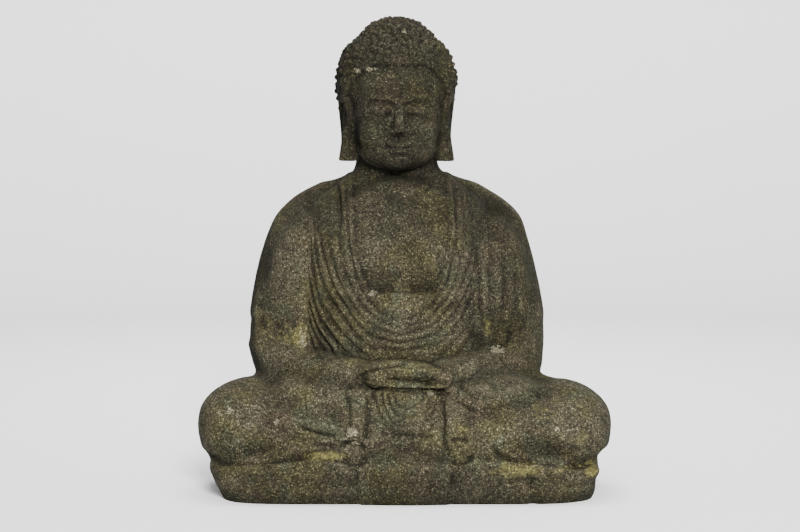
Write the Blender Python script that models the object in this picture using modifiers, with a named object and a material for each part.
"""Seated Buddha, carved from one block of dark volcanic stone.

Metres, +Z up. The figure faces -Y and sits on the plane z = 0, with the origin in the middle of
its underside. The carving is laid out on a canon of 100 units to the height, so every size below
that isn't a driving dimension is in those units.
"""

import math

import bmesh
import bpy
import numpy as np
from mathutils import Euler, Matrix, Vector

# Driving dimensions, in metres
HEIGHT = 0.500
KNEE_SPAN = 0.432
BASE_DEPTH = 0.286
UNIT = HEIGHT / 100

# How finely the forms are fused, and how many faces the finished solid keeps
VOXEL = 0.0013
TRIANGLES = 9800
FACE_WEIGHT = 0.4       # below 1, so that the thinning spares the face
FACE_FACTOR = 0.01
CORNER_CUTS = 2         # rounds of corner cutting that turn a stroke's few points into a curve
CLOSING_STEPS = 14      # rounds that find the robe's loop through a point
UNDERCUT = 3.0          # how far the block runs below z = 0 before it is sawn flat, in units
SHARP_ANGLE = 50        # edges steeper than this many degrees are shaded sharp

# How far the joins between fused forms are softened, in units
BODY_BLEND = 1.7
FACE_BLEND = 1.1
FEATURE_BLEND = 0.4
LAP_RUBBING = 80        # rounds of smoothing over the laps and knees

# The seat, in units
BASE_TOP = 8.5
PANEL_STEP = 0.6        # how far the middle of the base stands before its sides
BASE_HALF = 40.1
KNEE_Z = 14.2
LEAN = -1.3             # the upper body sits a little to the figure's right
TURN = 3.4              # and faces a little to its left, in degrees

# The head, in units
HEAD_NOD = 5            # degrees forward
HEAD_SHIFT = -0.4       # to the figure's right
NOD_PIVOT = (0.0, 4.0, 76.0)
CHIN_Z = 68.0
HAIRLINE_Z = 90.3
LOBE_Z = 69.7
FACE_HALF = 9.8
HAIR_STEP = 1.0

# The robe, in units
LOOP_TOP = 56.0         # the loops on the chest hang from this height
LOOP_MIDDLE = 0.1
LOOP_SPREAD = 1.2       # half the width of a loop is its drop times the spread, less the narrowing
LOOP_NARROW = 12.9
OUTER_DROP = 25.6       # loops that hang lower than this widen less and are squarer
COLLAR_DROP = 19.4      # how far the edge over the bare chest hangs down
COLLAR_STEP = 0.7       # how far it stands proud of the chest
FIRST_FURROW = 20.2
FURROW_STEP = 1.62
FURROWS = 9
LEDGE_Z = 41.2          # the straight top of the underrobe
LEDGE_STEP = 0.8
NAPE_Z = 67.4

STONE = (0.072, 0.067, 0.052, 1.0)


def clear_scene():
    for obj in list(bpy.data.objects):
        bpy.data.objects.remove(obj, do_unlink=True)


def mesh_object(name, mesh):
    obj = bpy.data.objects.new(name, mesh)
    bpy.context.scene.collection.objects.link(obj)
    return obj


def ellipsoid(centre, radii, turn=(0, 0, 0)):
    """A UV sphere stretched to three radii and turned by three angles in degrees."""
    place = Euler([math.radians(a) for a in turn]).to_matrix().to_4x4()
    place.translation = Vector(centre) * UNIT
    stretch = Matrix.Diagonal([r * UNIT for r in radii] + [1])
    shape = bmesh.new()
    bmesh.ops.create_uvsphere(shape, u_segments=32, v_segments=20, radius=1, matrix=place @ stretch)
    return shape


def limb(points, radii):
    """A round bar that swells and narrows along a smooth path, as a curve with a bevel."""
    curve = bpy.data.curves.new("limb", "CURVE")
    curve.dimensions = "3D"
    curve.bevel_depth = UNIT
    curve.bevel_resolution = 5
    curve.use_fill_caps = True
    curve.resolution_u = 8
    spline = curve.splines.new("NURBS")
    spline.points.add(len(points) - 1)
    for knot, point, radius in zip(spline.points, points, radii):
        knot.co = (*(Vector(point) * UNIT), 1)
        knot.radius = radius
    spline.use_endpoint_u = True
    spline.order_u = 3
    bar = bpy.data.objects.new("limb", curve)
    bpy.context.scene.collection.objects.link(bar)
    graph = bpy.context.evaluated_depsgraph_get()
    mesh = bpy.data.meshes.new_from_object(bar.evaluated_get(graph))
    shape = bmesh.new()
    shape.from_mesh(mesh)
    bmesh.ops.remove_doubles(shape, verts=shape.verts, dist=1e-6)
    bpy.data.objects.remove(bar)
    return shape


def stations_between(stations, steps):
    """Rows of numbers along smooth curves through the given rows, by height."""
    rows = np.array(stations, float)
    heights = np.linspace(rows[0, 0], rows[-1, 0], steps)
    slopes = np.gradient(rows[:, 1:], rows[:, 0], axis=0)
    index = np.clip(np.searchsorted(rows[:, 0], heights, side="right") - 1, 0, len(rows) - 2)
    span = rows[index + 1, 0] - rows[index, 0]
    t = ((heights - rows[index, 0]) / span)[:, None]
    low, high = rows[index, 1:], rows[index + 1, 1:]
    eased = (
        (2 * t**3 - 3 * t**2 + 1) * low
        + (t**3 - 2 * t**2 + t) * slopes[index] * span[:, None]
        + (3 * t**2 - 2 * t**3) * high
        + (t**3 - t**2) * slopes[index + 1] * span[:, None]
    )
    return np.column_stack([heights, eased])


def loft(stations, square=2.0, sides=56, steps=24):
    """A closed body through flat sections: rows of height, half width, front y and back y.

    A section is a superellipse whose exponent is square, 2 for an oval and more for a squarer plan.
    """
    shape = bmesh.new()
    angles = [2 * math.pi * k / sides for k in range(sides)]
    rings = []
    for z, half, front, back in stations_between(stations, steps):
        middle, depth = (front + back) / 2, (back - front) / 2
        ring = []
        for angle in angles:
            across, along = math.cos(angle), math.sin(angle)
            x = math.copysign(abs(across) ** (2 / square), across) * half
            y = math.copysign(abs(along) ** (2 / square), along) * depth
            ring.append(shape.verts.new(Vector((x, middle + y, z)) * UNIT))
        rings.append(ring)
    for low, high in zip(rings, rings[1:]):
        for k in range(sides):
            shape.faces.new((low[k], low[(k + 1) % sides], high[(k + 1) % sides], high[k]))
    shape.faces.new(reversed(rings[0]))
    shape.faces.new(rings[-1])
    return shape


def mirrored(shapes):
    """Each shape and its reflection in the figure's middle plane."""
    both = list(shapes)
    for shape in shapes:
        other = shape.copy()
        bmesh.ops.scale(other, verts=other.verts, vec=(-1, 1, 1))
        bmesh.ops.reverse_faces(other, faces=other.faces)
        both.append(other)
    return both


def fuse(name, shapes, blend):
    """One closed skin over all the shapes, with the joins softened over a distance in units."""
    mesh = bpy.data.meshes.new(name)
    whole = bmesh.new()
    for shape in shapes:
        part = bpy.data.meshes.new("part")
        shape.to_mesh(part)
        whole.from_mesh(part)
        shape.free()
    whole.to_mesh(mesh)
    whole.free()
    obj = mesh_object(name, mesh)
    skin = obj.modifiers.new("skin", "REMESH")
    skin.mode = "VOXEL"
    skin.voxel_size = VOXEL
    soften = obj.modifiers.new("soften", "SMOOTH")
    soften.factor = 0.5
    soften.iterations = round(2 * (blend * UNIT / VOXEL) ** 2)
    graph = bpy.context.evaluated_depsgraph_get()
    obj.data = bpy.data.meshes.new_from_object(obj.evaluated_get(graph))
    obj.modifiers.clear()
    return obj


def points_and_normals(mesh):
    points = np.empty(len(mesh.vertices) * 3)
    normals = np.empty(len(mesh.vertices) * 3)
    mesh.vertices.foreach_get("co", points)
    mesh.vertex_normals.foreach_get("vector", normals)
    return points.reshape(-1, 3) / UNIT, normals.reshape(-1, 3)


def neighbours(mesh):
    """Both ends of every edge, both ways round, and how many edges meet at each point."""
    ends = np.empty(len(mesh.edges) * 2, dtype=int)
    mesh.edges.foreach_get("vertices", ends)
    first, second = ends.reshape(-1, 2).T
    here, there = np.concatenate([first, second]), np.concatenate([second, first])
    return here, there, np.bincount(here, minlength=len(mesh.vertices))


def rubbed(points, links, rounds, share):
    """The points drawn towards their neighbours, again and again, as far as each one's share says."""
    here, there, count = links
    points = points.copy()
    for _ in range(rounds):
        for k in range(3):
            around = np.bincount(here, weights=points[there, k], minlength=len(points)) / count
            points[:, k] += 0.5 * share * (around - points[:, k])
    return points


def move_points(mesh, points):
    mesh.vertices.foreach_set("co", (points * UNIT).ravel())
    mesh.update()


def ease(value, start, end):
    """0 before start, 1 after end, and a smooth slope between them."""
    t = np.clip((value - start) / (end - start), 0, 1)
    return t * t * (3 - 2 * t)


def window(value, start, end, edge):
    """1 between start and end, fading to 0 within edge outside them."""
    return ease(value, start - edge, start) * (1 - ease(value, end, end + edge))


def bump(value, width):
    return np.exp(-((value / width) ** 2))


def pleat(phase):
    """Soft rolls of cloth with narrow furrows, one to each whole number of phase; from -1 to 0."""
    return -np.abs(np.cos(math.pi * phase)) ** 3


def base():
    """The low band of stone under the legs, and the robe's hem that falls over its middle."""
    band = loft(
        [
            (-UNDERCUT, 37.0, -28.0, 27.6),
            (0.4, 37.9, -28.6, 28.2),
            (2.4, 39.0, -28.8, 28.6),
            (5.0, BASE_HALF, -28.7, 28.6),
            (BASE_TOP, BASE_HALF - 0.2, -28.2, 28.2),
            (BASE_TOP + 1.0, BASE_HALF - 1.8, -26.4, 27.0),
        ],
        square=8.0,
    )
    hem = loft(
        [
            (-UNDERCUT, 9.6, -28.6, -10),
            (3.0, 9.8, -29.2, -10),
            (8.0, 9.6, -28.4, -10),
            (11.4, 8.4, -26.0, -10),
        ],
        square=4.0,
    )
    return [band, hem]


def legs():
    """Crossed legs under the robe: each a thigh, a broad knee and a shin that runs to the middle."""
    knee = ellipsoid((31.4, -10.2, KNEE_Z), (12.0, 16.0, 8.7), (0, 0, 12))
    outer = ellipsoid((36.0, -8.4, KNEE_Z - 1.6), (7.6, 11.4, 6.8), (0, 0, 12))
    thigh = limb([(9, 12, 15), (20, 3, 16), (29, -6, 15.4)], [11, 9.4, 8.6])
    shin = limb([(34, -12.4, 12.4), (25, -19.6, 12.0), (12, -21.4, 11.4), (0, -20, 11)], [8.2, 7.2, 6.2, 6])
    lap = ellipsoid((0, -4, 14.5), (30, 20, 7.6))
    seat = ellipsoid((0, 11, 12), (29, 15.5, 11))
    return mirrored([knee, outer, thigh, shin]) + [lap, seat]


def lap_robe():
    """The fan of cloth that hangs from the hands, the two sleeve hems beside it, and the lap's folds."""
    fan = ellipsoid((0, -19.4, 15.8), (8.6, 6.8, 9.4))
    hem = limb(
        [(8.4, -15.0, 23.4), (9.6, -20.6, 19.4), (10.2, -23.4, 14.6), (9.8, -24.2, 10.6)],
        [3.2, 3.4, 3.5, 3.0],
    )
    spread = ellipsoid((18.2, -12.8, 18.0), (14.8, 10.2, 6.8), (0, 0, 22))
    gather = limb([(-28.0, -7.8, 21.6), (-20.0, -14.8, 21.6), (-12.0, -18.2, 21.0)], [3.6, 3.7, 3.4])
    return [fan, gather] + mirrored([hem, spread])


def torso():
    """The trunk, chest and belly, and the robe that hangs over the back from arm to arm."""
    trunk = loft(
        [
            (8, 28, -9, 25),
            (16, 26, -12, 26),
            (24, 21.5, -13.4, 25),
            (32, 19.0, -13.2, 23.6),
            (40, 18.6, -12.4, 22.6),
            (48, 19.2, -11.6, 21.8),
            (55, 20.0, -9.8, 20.8),
            (60, 18.8, -7.4, 19.2),
            (63.6, 15.0, -4.8, 17.2),
            (66.2, 11.6, -3.0, 14.6),
            (68, 9.0, -1.8, 12.0),
        ],
        square=2.4,
    )
    cloak = loft(
        [
            (8, 27.0, 0, 24.8),
            (18, 26.0, 0, 25.0),
            (28, 25.0, 0, 24.0),
            (38, 24.2, 0, 22.8),
            (48, 23.2, 0, 21.6),
            (56, 20.6, 0, 19.8),
            (61, 16.0, 1.0, 17.6),
            (63.6, 12.0, 3.0, 15.6),
        ],
        square=2.6,
    )
    yoke = limb(
        [(-19, 8.8, 55.4), (-12, 9.2, 59.6), (0, 9.6, 61.6), (12, 9.2, 59.6), (19, 8.8, 55.4)],
        [6.8] * 5,
    )
    neck = limb([(0, 8.0, 60), (0, 7.2, 67), (0, 4.4, 76)], [11.6, 9.0, 8.4])
    chest = ellipsoid((0, -5.4, 50.8), (15.6, 6.8, 14.6), (-5, 0, 0))
    breast = ellipsoid((5.2, -7.3, 49.0), (7.0, 5.0, 7.2), (8, 0, 12))
    belly = ellipsoid((0, -7.0, 36.0), (10.0, 7.4, 8.0))
    return [trunk, cloak, yoke, neck, chest, belly] + mirrored([breast])


def arms():
    """Sleeved arms: from the shoulder out to the elbow, then in to the wrist under a heavy sleeve."""
    sleeve = limb(
        [
            (10.0, 8.8, 57.6),
            (18.6, 8.4, 54.8),
            (21.6, 7.6, 46),
            (24.0, 5.8, 36),
            (25.2, 2.4, 27.4),
            (21.4, -6.0, 23.0),
            (12.0, -14.6, 23.2),
            (6.0, -17.6, 24.2),
        ],
        [6.6, 9.8, 9.4, 8.9, 8.2, 6.6, 5.0, 3.8],
    )
    elbow = ellipsoid((24.8, 2.6, 26.4), (7.4, 9.8, 7.2))
    fall = ellipsoid((18.4, -7.0, 21.6), (13.6, 11.6, 5.2), (16, 8, 34))
    inner = ellipsoid((20.0, 0.5, 39.0), (10.0, 7.5, 19.0), (0, 0, 25))
    drape = ellipsoid((19.6, 9.6, 22.0), (9.6, 9.6, 14.0))
    return mirrored([sleeve, elbow, fall, inner, drape])


def hands():
    """One hand on the other in a low oval, with the thumbs meeting over a slit."""
    palms = ellipsoid((-0.4, -17.8, 24.9), (9.6, 6.2, 2.7), (8, 4, 0))
    fingers = ellipsoid((0.2, -20.3, 23.3), (8.8, 4.2, 1.5), (6, 3, 0))
    thumbs = limb(
        [
            (-8.8, -18.8, 24.8),
            (-6.0, -20.8, 26.2),
            (-2.4, -21.4, 26.8),
            (1.6, -21.4, 26.6),
            (5.4, -20.8, 25.4),
            (8.8, -19.4, 23.6),
        ],
        [2.0, 1.7, 1.5, 1.5, 1.7, 2.0],
    )
    cuff = limb(
        [(5.2, -19.2, 24.2), (9.6, -17.6, 24.3), (15.0, -12.4, 24.8), (20.0, -7.0, 25.0)],
        [2.2, 2.8, 3.2, 3.4],
    )
    return [palms, fingers, thumbs, cuff]


def skull():
    """The head under the hair, the low dome on the crown, and the full oval of the face."""
    cap = loft(
        [
            (74.0, 7.8, -2.0, 9.4),
            (77.0, 9.6, -4.4, 11.4),
            (80.6, 11.2, -7.0, 12.8),
            (84.4, 12.0, -8.7, 13.4),
            (88.0, 12.0, -9.0, 13.6),
            (91.0, 11.3, -8.5, 12.8),
            (93.4, 9.9, -7.2, 11.2),
            (95.0, 7.8, -5.4, 9.2),
            (95.8, 5.0, -3.0, 6.6),
        ],
    )
    oval = ellipsoid((0, -0.8, 79.6), (9.8, 9.2, 12.2))
    jaw = ellipsoid((0, -1.6, 73.2), (8.8, 7.8, 5.6))
    dome = ellipsoid((0, 2.2, 92.6), (8.3, 8.2, 6.9))
    chin = ellipsoid((0, -6.9, CHIN_Z + 2.4), (3.2, 2.4, 2.3))
    cheek = ellipsoid((4.7, -5.6, 76.2), (4.2, 3.4, 4.4), (0, 0, 24))
    return [cap, oval, jaw, dome, chin] + mirrored([cheek])


def face_heights():
    """A third of the face, the heights of brow, nose base and mouth, and an eye's width.

    The hairline, brow, nose base and chin are a third of the face apart. The face is five eyes
    wide: an eye's width lies between the eyes, and the nose is as broad as an eye is long. The
    mouth lies a third of the way from the nose to the chin.
    """
    third = (HAIRLINE_Z - CHIN_Z) / 3
    return third, HAIRLINE_Z - third, CHIN_Z + third, CHIN_Z + third - third / 3, 2 * FACE_HALF / 5


def features():
    """Nose, lids and lips."""
    third, brow_z, nose_z, mouth_z, eye = face_heights()
    bridge = limb(
        [
            (0, -8.6, brow_z + 0.4),
            (0, -9.6, brow_z - 2.0),
            (0, -10.7, nose_z + 1.9),
            (0, -10.3, nose_z + 1.0),
        ],
        [0.9, 0.85, 1.2, 1.0],
    )
    wing = ellipsoid((0.30 * eye, -9.6, nose_z + 1.0), (0.22 * eye, 1.0, 0.8), (0, 0, 20))
    lid = ellipsoid((eye, -8.35, brow_z - 0.34 * third), (0.58 * eye, 1.45, 1.45), (-6, 0, 18))
    lip_above = ellipsoid((0.7, -9.4, mouth_z + 0.46), (1.75, 0.85, 0.54), (0, -5, 14))
    lip_below = ellipsoid((0, -9.3, mouth_z - 0.66), (1.8, 0.92, 0.66))
    return [bridge, lip_below] + mirrored([wing, lid, lip_above])


def ears():
    """Long ears: a curled rim, a hollow face, and a heavy lobe that stands clear of the neck."""
    rim = limb(
        [
            (9.6, -1.8, 78.6),
            (10.2, -3.0, 80.4),
            (11.0, -2.8, 83.2),
            (11.6, -0.6, 84.6),
            (11.9, 1.6, 83.0),
            (11.4, 2.2, 78.6),
            (11.0, 1.6, 74.6),
            (10.9, 0.6, 72.0),
        ],
        [0.7, 0.8, 0.85, 0.9, 0.95, 0.95, 1.0, 1.2],
    )
    bowl = ellipsoid((10.2, -0.4, 79.4), (1.2, 3.0, 5.0), (0, 0, -20))
    lobe = limb([(10.1, -0.6, 77.0), (10.3, -0.6, 73.0), (10.55, -0.8, 68.6)], [1.5, 1.8, 2.3])
    shapes = mirrored([rim, bowl, lobe])
    for shape in shapes:
        cut = bmesh.ops.bisect_plane(
            shape,
            geom=shape.verts[:] + shape.edges[:] + shape.faces[:],
            plane_co=(0, 0, LOBE_Z * UNIT),
            plane_no=(0, 0, -1),
            clear_outer=True,
        )
        rim_edges = [item for item in cut["geom_cut"] if isinstance(item, bmesh.types.BMEdge)]
        bmesh.ops.contextual_create(shape, geom=rim_edges)
    return shapes


def face_lines(x, z):
    """Furrows and ridges cut into the face: sockets, brow ridges, lid edges, mouth and nose."""
    third, brow_z, nose_z, mouth_z, eye = face_heights()
    side = np.abs(x)
    lid_z = brow_z - 0.34 * third
    arch = brow_z + 0.9 - 0.085 * (side - 1.05 * eye) ** 2
    brows = 0.36 * window(side, 0.3 * eye, 1.8 * eye, 0.9) * bump(z - arch, 0.42)
    under_brow = -0.48 * window(side, 0.35 * eye, 1.6 * eye, 0.9) * bump(z - arch + 1.05, 0.55)
    droop = lid_z - 0.75 + 0.10 * (side - eye) ** 2
    lid_edge = -0.85 * window(side, 0.50 * eye, 1.50 * eye, 0.35) * bump(z - droop, 0.42)
    parting = mouth_z - 0.08 + 0.045 * x**2
    mouth = -0.68 * window(side, 0, 2.3, 0.6) * bump(z - parting, 0.36)
    corner = -0.22 * bump(side - 2.75, 0.5) * bump(z - mouth_z - 0.25, 0.5)
    groove = -0.16 * bump(x, 0.4) * window(z, mouth_z + 0.9, nose_z - 0.2, 0.3)
    under_nose = -0.30 * window(side, 0, 1.3, 0.4) * bump(z - nose_z + 0.1, 0.35)
    under_lip = -0.25 * bump(x, 1.6) * bump(z - mouth_z + 1.5, 0.5)
    return brows + under_brow + lid_edge + mouth + corner + groove + under_nose + under_lip


def carve_face(mesh):
    points, normals = points_and_normals(mesh)
    x, y, z = points.T
    front = ease(-normals[:, 1], 0.0, 0.5) * (y < -4)
    points[:, 1] -= face_lines(x, z) * front
    move_points(mesh, points)


def hair_edge(x, y):
    """The height of the hair's edge round the head: over the brow, round the ears, down the nape."""
    temple = 1.0 * ease(np.abs(x), 4, 9)
    return HAIRLINE_Z - temple - 6.9 * ease(y, -7.6, -0.6) - 8.6 * ease(y, 2.4, 7.5)


def carve_hair(mesh):
    """The cap of hair stands proud of the brow and temples, down to the nape."""
    points, normals = points_and_normals(mesh)
    x, y, z = points.T
    edge = hair_edge(x, y)
    points += normals * (HAIR_STEP * ease(z, edge - 0.3, edge + 0.3))[:, None]
    move_points(mesh, points)


def turned(points, back=False):
    """Points of the upper body in the seat's frame, or the other way round."""
    turn = np.array(Matrix.Rotation(math.radians(-TURN if back else TURN), 3, "Z"))
    if back:
        return (points - (LEAN, 0, 0)) @ turn.T
    return points @ turn.T + (LEAN, 0, 0)


def set_on_neck(points):
    """The upright head nods, and moves and turns with the upper body."""
    nod = np.array(Matrix.Rotation(math.radians(HEAD_NOD), 3, "X"))
    return turned((points - NOD_PIVOT) @ nod.T + NOD_PIVOT + (HEAD_SHIFT, 0, 0))


def settle(points):
    """What the carver left uneven: shoulder, knee and corner differ, and the base has a proud middle."""
    x, y, z = points.T
    high = ease(z, 44, 58) * (1 - ease(z, 66, 70))
    points[:, 2] -= (1.0 * ease(-x, 22, 29) + 0.6 * window(-x, 12, 15, 4)) * high
    knees = 0.7 * ease(-x, 27, 34) + 0.4 * ease(x, 27, 34) - 0.6 * bump(x - 29, 3.5)
    points[:, 2] += knees * window(z, 17, 27, 3)
    points[:, 0] += 0.2 * ease(x, 19, 24) * window(z, 36, 54, 5)
    points[:, 0] -= 0.4 * ease(x, 23, 27) * window(z, 28, 33, 4)
    points[:, 0] += 1.2 * ease(x, 33, 38) * (1 - ease(z, 0.5, 4.5))
    points[:, 1] += PANEL_STEP * ease(np.abs(x), 8.6, 10.8) * (1 - ease(z, 7, 9)) * ease(-y, 12, 18)
    points[:, 2] -= (0.8 * ease(-x, 30, 37) + 1.6 * ease(x, 29, 36)) * window(z, 7.5, 9, 4)
    points[:, 0] -= 1.3 * ease(x, 30, 37) * window(z, 7.5, 8.0, 1.3)
    return points


def stroke(x, z, path, width):
    """The soft hollow of one chisel stroke along a short path, dying away at both its ends."""
    near = np.full(len(x), 1e9)
    along = np.zeros(len(x))
    knots = np.array(path, float)
    for _ in range(CORNER_CUTS):
        inner = np.stack([0.75 * knots[:-1] + 0.25 * knots[1:], 0.25 * knots[:-1] + 0.75 * knots[1:]], axis=1)
        knots = np.vstack([knots[:1], inner.reshape(-1, 2), knots[-1:]])
    steps = np.concatenate([[0], np.cumsum(np.hypot(*np.diff(knots, axis=0).T))])
    for k in range(len(knots) - 1):
        dx, dz = knots[k + 1] - knots[k]
        t = np.clip(((x - knots[k, 0]) * dx + (z - knots[k, 1]) * dz) / (dx * dx + dz * dz), 0, 1)
        gap = np.hypot(x - knots[k, 0] - t * dx, z - knots[k, 1] - t * dz)
        closer = gap < near
        near[closer] = gap[closer]
        along[closer] = (steps[k] + t * (steps[k + 1] - steps[k]))[closer] / steps[-1]
    taper = window(along, 0.24, 0.76, 0.24)
    return bump(near, width) * taper


def loop_drop(x, z):
    """How far below its top the robe's loop through a point hangs, found by closing in on it."""
    across = np.abs(x - LOOP_MIDDLE)
    down = np.maximum(LOOP_TOP - z, 0)
    drop = np.hypot(across / 0.6, down)
    for _ in range(CLOSING_STEPS):
        outer = np.maximum(drop - OUTER_DROP, 0)
        half = np.maximum(LOOP_SPREAD * drop - LOOP_NARROW - 0.72 * outer, 2)
        square = 2 + np.clip(outer / 5, 0, 1)
        reach = ((across * drop / half) ** square + down**square) ** (1 / square)
        drop = np.clip(0.5 * drop + 0.5 * reach, 10, 60)
    return drop


def chest_folds(x, z):
    """The robe's nested loops, deepest where they bunch on the figure's right."""
    drop = loop_drop(x, z) + 0.2 * np.sin(0.42 * x + 1.0) + 0.1 * np.sin(0.9 * x + 0.35 * z)
    phase = (drop - FIRST_FURROW) / FURROW_STEP
    right, left = ease(-x, 3, 14), ease(x, 5, 12)
    depth = 0.34 + 0.08 * right - 0.08 * left + 0.34 * right * ease(phase, 3.2, 5.2)
    depth *= 1 + 0.25 * np.cos(1.9 * np.round(phase))
    depth *= 1 - (0.75 - 0.5 * (phase < 1.5)) * ease(z, 47, 57)
    depth *= 1 - 0.6 * (phase < 0.5) * (1 - ease(np.abs(x), 5, 11)) * (z < 44)
    within = window(phase, -0.3, FURROWS, 0.3) * window(x, -18.8, 15.6, 1.2) * ease(z, 27, 29.5)
    return depth * pleat(phase) * within * (z < 67)


def chest_edges(x, z):
    """The robe's edge over the bare chest, and the straight top of the underrobe."""
    drop = loop_drop(x, z)
    collar = ease(drop, COLLAR_DROP - 0.6, COLLAR_DROP + 0.4) * window(z, 42, 66, 4)
    collar *= 1 - ease(drop, COLLAR_DROP + 5, COLLAR_DROP + 11)
    under = ease(z, LEDGE_Z + 0.4, LEDGE_Z - 0.3) * ease(z, 34, 39)
    under *= 1 - ease(drop, COLLAR_DROP - 1, COLLAR_DROP + 1)
    return COLLAR_STEP * collar + LEDGE_STEP * under


def nape(y, z):
    """The robe's edge across the back of the neck."""
    return COLLAR_STEP * ease(z, NAPE_Z, NAPE_Z - 1) * window(z, 58, NAPE_Z, 5) * ease(y, 3, 8)


def sleeve_folds(x, z):
    """The furrow between each arm and the trunk, and the long folds that hang in the sleeve."""
    folds = np.zeros(len(x))
    for path, width, depth in (
        ([(-17.8, 55), (-18.2, 47), (-19.4, 38), (-19.4, 32), (-17.0, 28)], 0.8, 0.8),
        ([(16.2, 52), (16.7, 45), (17.2, 37), (18.6, 31)], 0.7, 0.9),
        ([(-13.6, 66), (-12.7, 61), (-12.6, 54)], 0.7, 0.8),
        ([(19.0, 48), (19.3, 42), (19.4, 36), (20.2, 31)], 0.9, 0.6),
        ([(22.0, 50), (22.8, 43), (22.2, 36), (20.4, 31)], 1.0, 0.6),
        ([(24.8, 48), (25.6, 41), (24.8, 35), (22.8, 30)], 1.0, 0.4),
    ):
        folds -= depth * stroke(x, z, path, width)
    return folds


def fan_folds(x, z):
    """Half rings of cloth under the hands, clearer on the figure's right."""
    ring = np.hypot(x - 0.9, (z - 22.6) * 0.84)
    depth = 0.24 + 0.26 * ease(-x, -3, 4)
    return depth * pleat(ring / 1.5) * window(ring, 2.6, 8.0, 0.6) * (1 - ease(z, 21.4, 22.2))


def lap_lines(x, z):
    """The folds over the legs, the hems beside the hands, the hands' own lines and the base's joints."""
    lines = np.zeros(len(x))
    for path, width, depth in (
        ([(-50, 7.4), (-40, 7.9), (-30, 8.5), (-21, 9.4), (-17.0, 10.5), (-11.8, 10.9)], 0.7, 1.2),
        ([(17.4, 12.2), (18.4, 10.2), (21.0, 9.1), (27.0, 8.4)], 0.6, 1.1),
        ([(22.0, 8.9), (30, 7.9), (38, 7.2), (50, 6.8)], 0.7, 0.8),
        ([(-21.4, 15.8), (-17.5, 14.3), (-13.4, 13.6)], 0.6, 0.8),
        ([(7.2, 22.8), (7.8, 17), (7.8, 12.0), (9.6, 9.2)], 0.6, 0.9),
        ([(-7.4, 22), (-7.2, 17), (-7.8, 12.0)], 0.8, 0.8),
        ([(-13.0, 9.6), (-10.0, 7.8), (-7.0, 9.6)], 0.8, 0.8),
        ([(9.0, 9.0), (11.4, 8.2), (14.2, 10.0)], 0.8, 0.9),
        ([(-9.8, 9), (-9.6, 4), (-9.4, -4)], 0.8, 0.5),
        ([(9.6, 8), (9.4, 4), (9.2, -4)], 0.8, 0.6),
        ([(25.6, 7), (25.3, 4), (25.8, -4)], 0.9, 0.6),
        ([(-6.0, 25.3), (-1.5, 25.2), (2.6, 24.8), (8.4, 23.4)], 0.62, 1.8),
        ([(-10.2, 24.6), (-8.6, 23.0), (-5.0, 22.6), (0.0, 22.5), (5.0, 22.3), (9.8, 21.5)], 0.5, 0.9),
        ([(-9.0, 26.6), (-8.6, 24.8), (-7.8, 22.8)], 0.9, 0.3),
        ([(-10.2, 23.4), (-8.6, 25.6), (-5.0, 26.7), (-0.9, 27.2), (2.0, 27.4)], 0.5, 0.6),
    ):
        lines -= depth * stroke(x, z, path, width)
    return lines


def back_folds(x, z):
    """Wide, plain loops of cloth across the back, that hang from the figure's left shoulder."""
    drop = np.maximum(66 - z + 0.3 * x, 0)
    loop = np.hypot((x - 4) / 15, drop / 20) + 0.03 * np.sin(0.3 * x)
    return 0.42 * pleat((loop - 0.5) * 3.4) * window(loop, 0.5, 2.5, 0.4) * window(z, 19, 58, 6)


def carve_robe(mesh):
    points, normals = points_and_normals(mesh)
    x, y, z = points.T
    front = ease(-normals[:, 1], 0.05, 0.5)
    back = ease(normals[:, 1], 0.2, 0.7)
    upper_x = turned(points, back=True)[:, 0]
    chest = chest_folds(upper_x, z) + chest_edges(upper_x, z) + sleeve_folds(upper_x, z)
    chest *= ease(z, 26, 29) * (z < 68) * (y > -17)
    lap = lap_lines(x, z) * (1 - ease(z, 27.5, 29)) + fan_folds(x, z) * (y < -17)
    behind = back_folds(upper_x, z) * back + nape(y, z)
    height = (chest + lap * (y < -8)) * front + behind
    move_points(mesh, points + normals * height[:, None])


def thin_out(obj):
    """Brings the skin down to the number of triangles, fewest where it is plain, most in the face."""
    points, normals = points_and_normals(obj.data)
    in_face = (points[:, 2] > CHIN_Z - 1) & (points[:, 2] < HAIRLINE_Z + 1) & (normals[:, 1] < -0.2)
    plain = obj.vertex_groups.new(name="plain")
    plain.add(np.flatnonzero(~in_face).tolist(), 1.0, "REPLACE")
    plain.add(np.flatnonzero(in_face).tolist(), FACE_WEIGHT, "REPLACE")
    thin = obj.modifiers.new("thin", "DECIMATE")
    thin.ratio = TRIANGLES / (2 * len(obj.data.polygons))
    thin.use_collapse_triangulate = True
    thin.vertex_group = plain.name
    thin.vertex_group_factor = FACE_FACTOR
    graph = bpy.context.evaluated_depsgraph_get()
    obj.data = bpy.data.meshes.new_from_object(obj.evaluated_get(graph))
    obj.modifiers.clear()


def saw_flat(mesh):
    """Cuts the block level at z = 0 and closes the cut."""
    shape = bmesh.new()
    shape.from_mesh(mesh)
    everything = shape.verts[:] + shape.edges[:] + shape.faces[:]
    cut = bmesh.ops.bisect_plane(
        shape, geom=everything, plane_co=(0, 0, 0), plane_no=(0, 0, 1), clear_inner=True, dist=1e-5
    )
    rim = [item for item in cut["geom_cut"] if isinstance(item, bmesh.types.BMEdge)]
    bmesh.ops.contextual_create(shape, geom=rim)
    bmesh.ops.triangulate(shape, faces=shape.faces)
    shape.to_mesh(mesh)
    shape.free()


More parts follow.
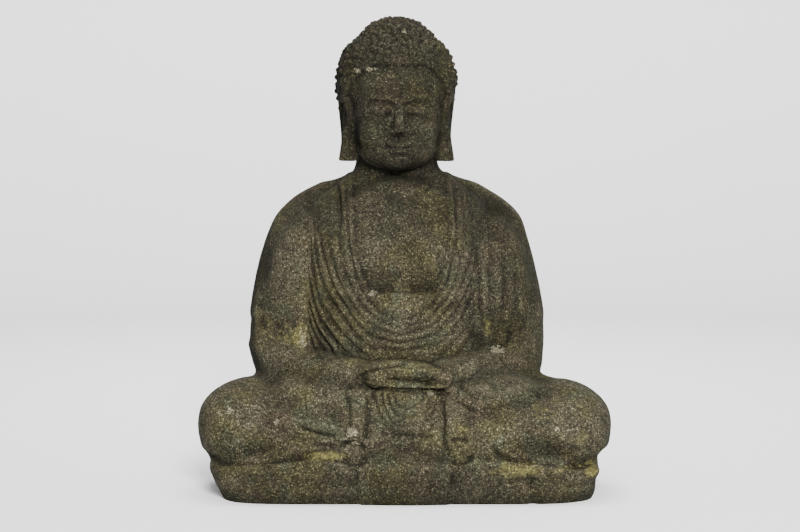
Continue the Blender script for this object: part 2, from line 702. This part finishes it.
def to_size(mesh):
    """Stretches the mesh by the little that softening took, to the driving dimensions."""
    points, _ = points_and_normals(mesh)
    points *= UNIT
    low, high = points.min(axis=0), points.max(axis=0)
    middle = (low + high) / 2
    middle[2] = 0
    size = np.array([KNEE_SPAN, BASE_DEPTH, HEIGHT])
    reach = np.array([high[0] - low[0], high[1] - low[1], high[2]])
    mesh.vertices.foreach_set("co", ((points - middle) * size / reach).ravel())
    mesh.update()


def stone():
    material = bpy.data.materials.new("volcanic_stone")
    material.use_nodes = True
    shader = material.node_tree.nodes["Principled BSDF"]
    shader.inputs["Base Color"].default_value = STONE
    shader.inputs["Roughness"].default_value = 0.9
    return material


def taken_apart(obj):
    """The object's mesh as a loose shape again, for the next fusing."""
    shape = bmesh.new()
    shape.from_mesh(obj.data)
    bpy.data.objects.remove(obj)
    return shape


def rub_laps(mesh):
    """The cloth over the laps, knees and forearms is one soft sheet, then the whole body settles."""
    points, _ = points_and_normals(mesh)
    x, y, z = points.T
    laps = ease(np.abs(x), 12.5, 16) * window(z, 11, 27, 2) * (1 - ease(y, -4, 6))
    laps += (1 - laps) * (1 - ease(np.abs(x), 14, 18)) * window(z, 26.5, 31.5, 1.5) * (1 - ease(y, -8, -4))
    move_points(mesh, settle(rubbed(points, neighbours(mesh), LAP_RUBBING, laps)))


def statue():
    oval = fuse("oval", skull(), FACE_BLEND)
    face = fuse("face", [taken_apart(oval)] + features(), FEATURE_BLEND)
    carve_face(face.data)
    carve_hair(face.data)
    head = fuse("head", [taken_apart(face)] + ears(), FEATURE_BLEND / 2)
    move_points(head.data, set_on_neck(points_and_normals(head.data)[0]))
    trunk = fuse("trunk", torso() + arms(), BODY_BLEND)
    move_points(trunk.data, turned(points_and_normals(trunk.data)[0]))
    lower = fuse("lower", base() + legs() + lap_robe(), BODY_BLEND)
    body = fuse("body", [taken_apart(trunk), taken_apart(lower)], BODY_BLEND)
    rub_laps(body.data)
    figure = fuse("buddha_statue", [taken_apart(body), taken_apart(head)] + hands(), FEATURE_BLEND)
    carve_robe(figure.data)

    thin_out(figure)
    saw_flat(figure.data)
    to_size(figure.data)
    figure.data.materials.clear()
    figure.data.materials.append(stone())
    figure.data.shade_smooth()
    figure.data.set_sharp_from_angle(angle=math.radians(SHARP_ANGLE))
    return figure


def main():
    clear_scene()
    collection = bpy.data.collections.new("seated_buddha")
    bpy.context.scene.collection.children.link(collection)
    figure = statue()
    bpy.context.scene.collection.objects.unlink(figure)
    collection.objects.link(figure)


main()
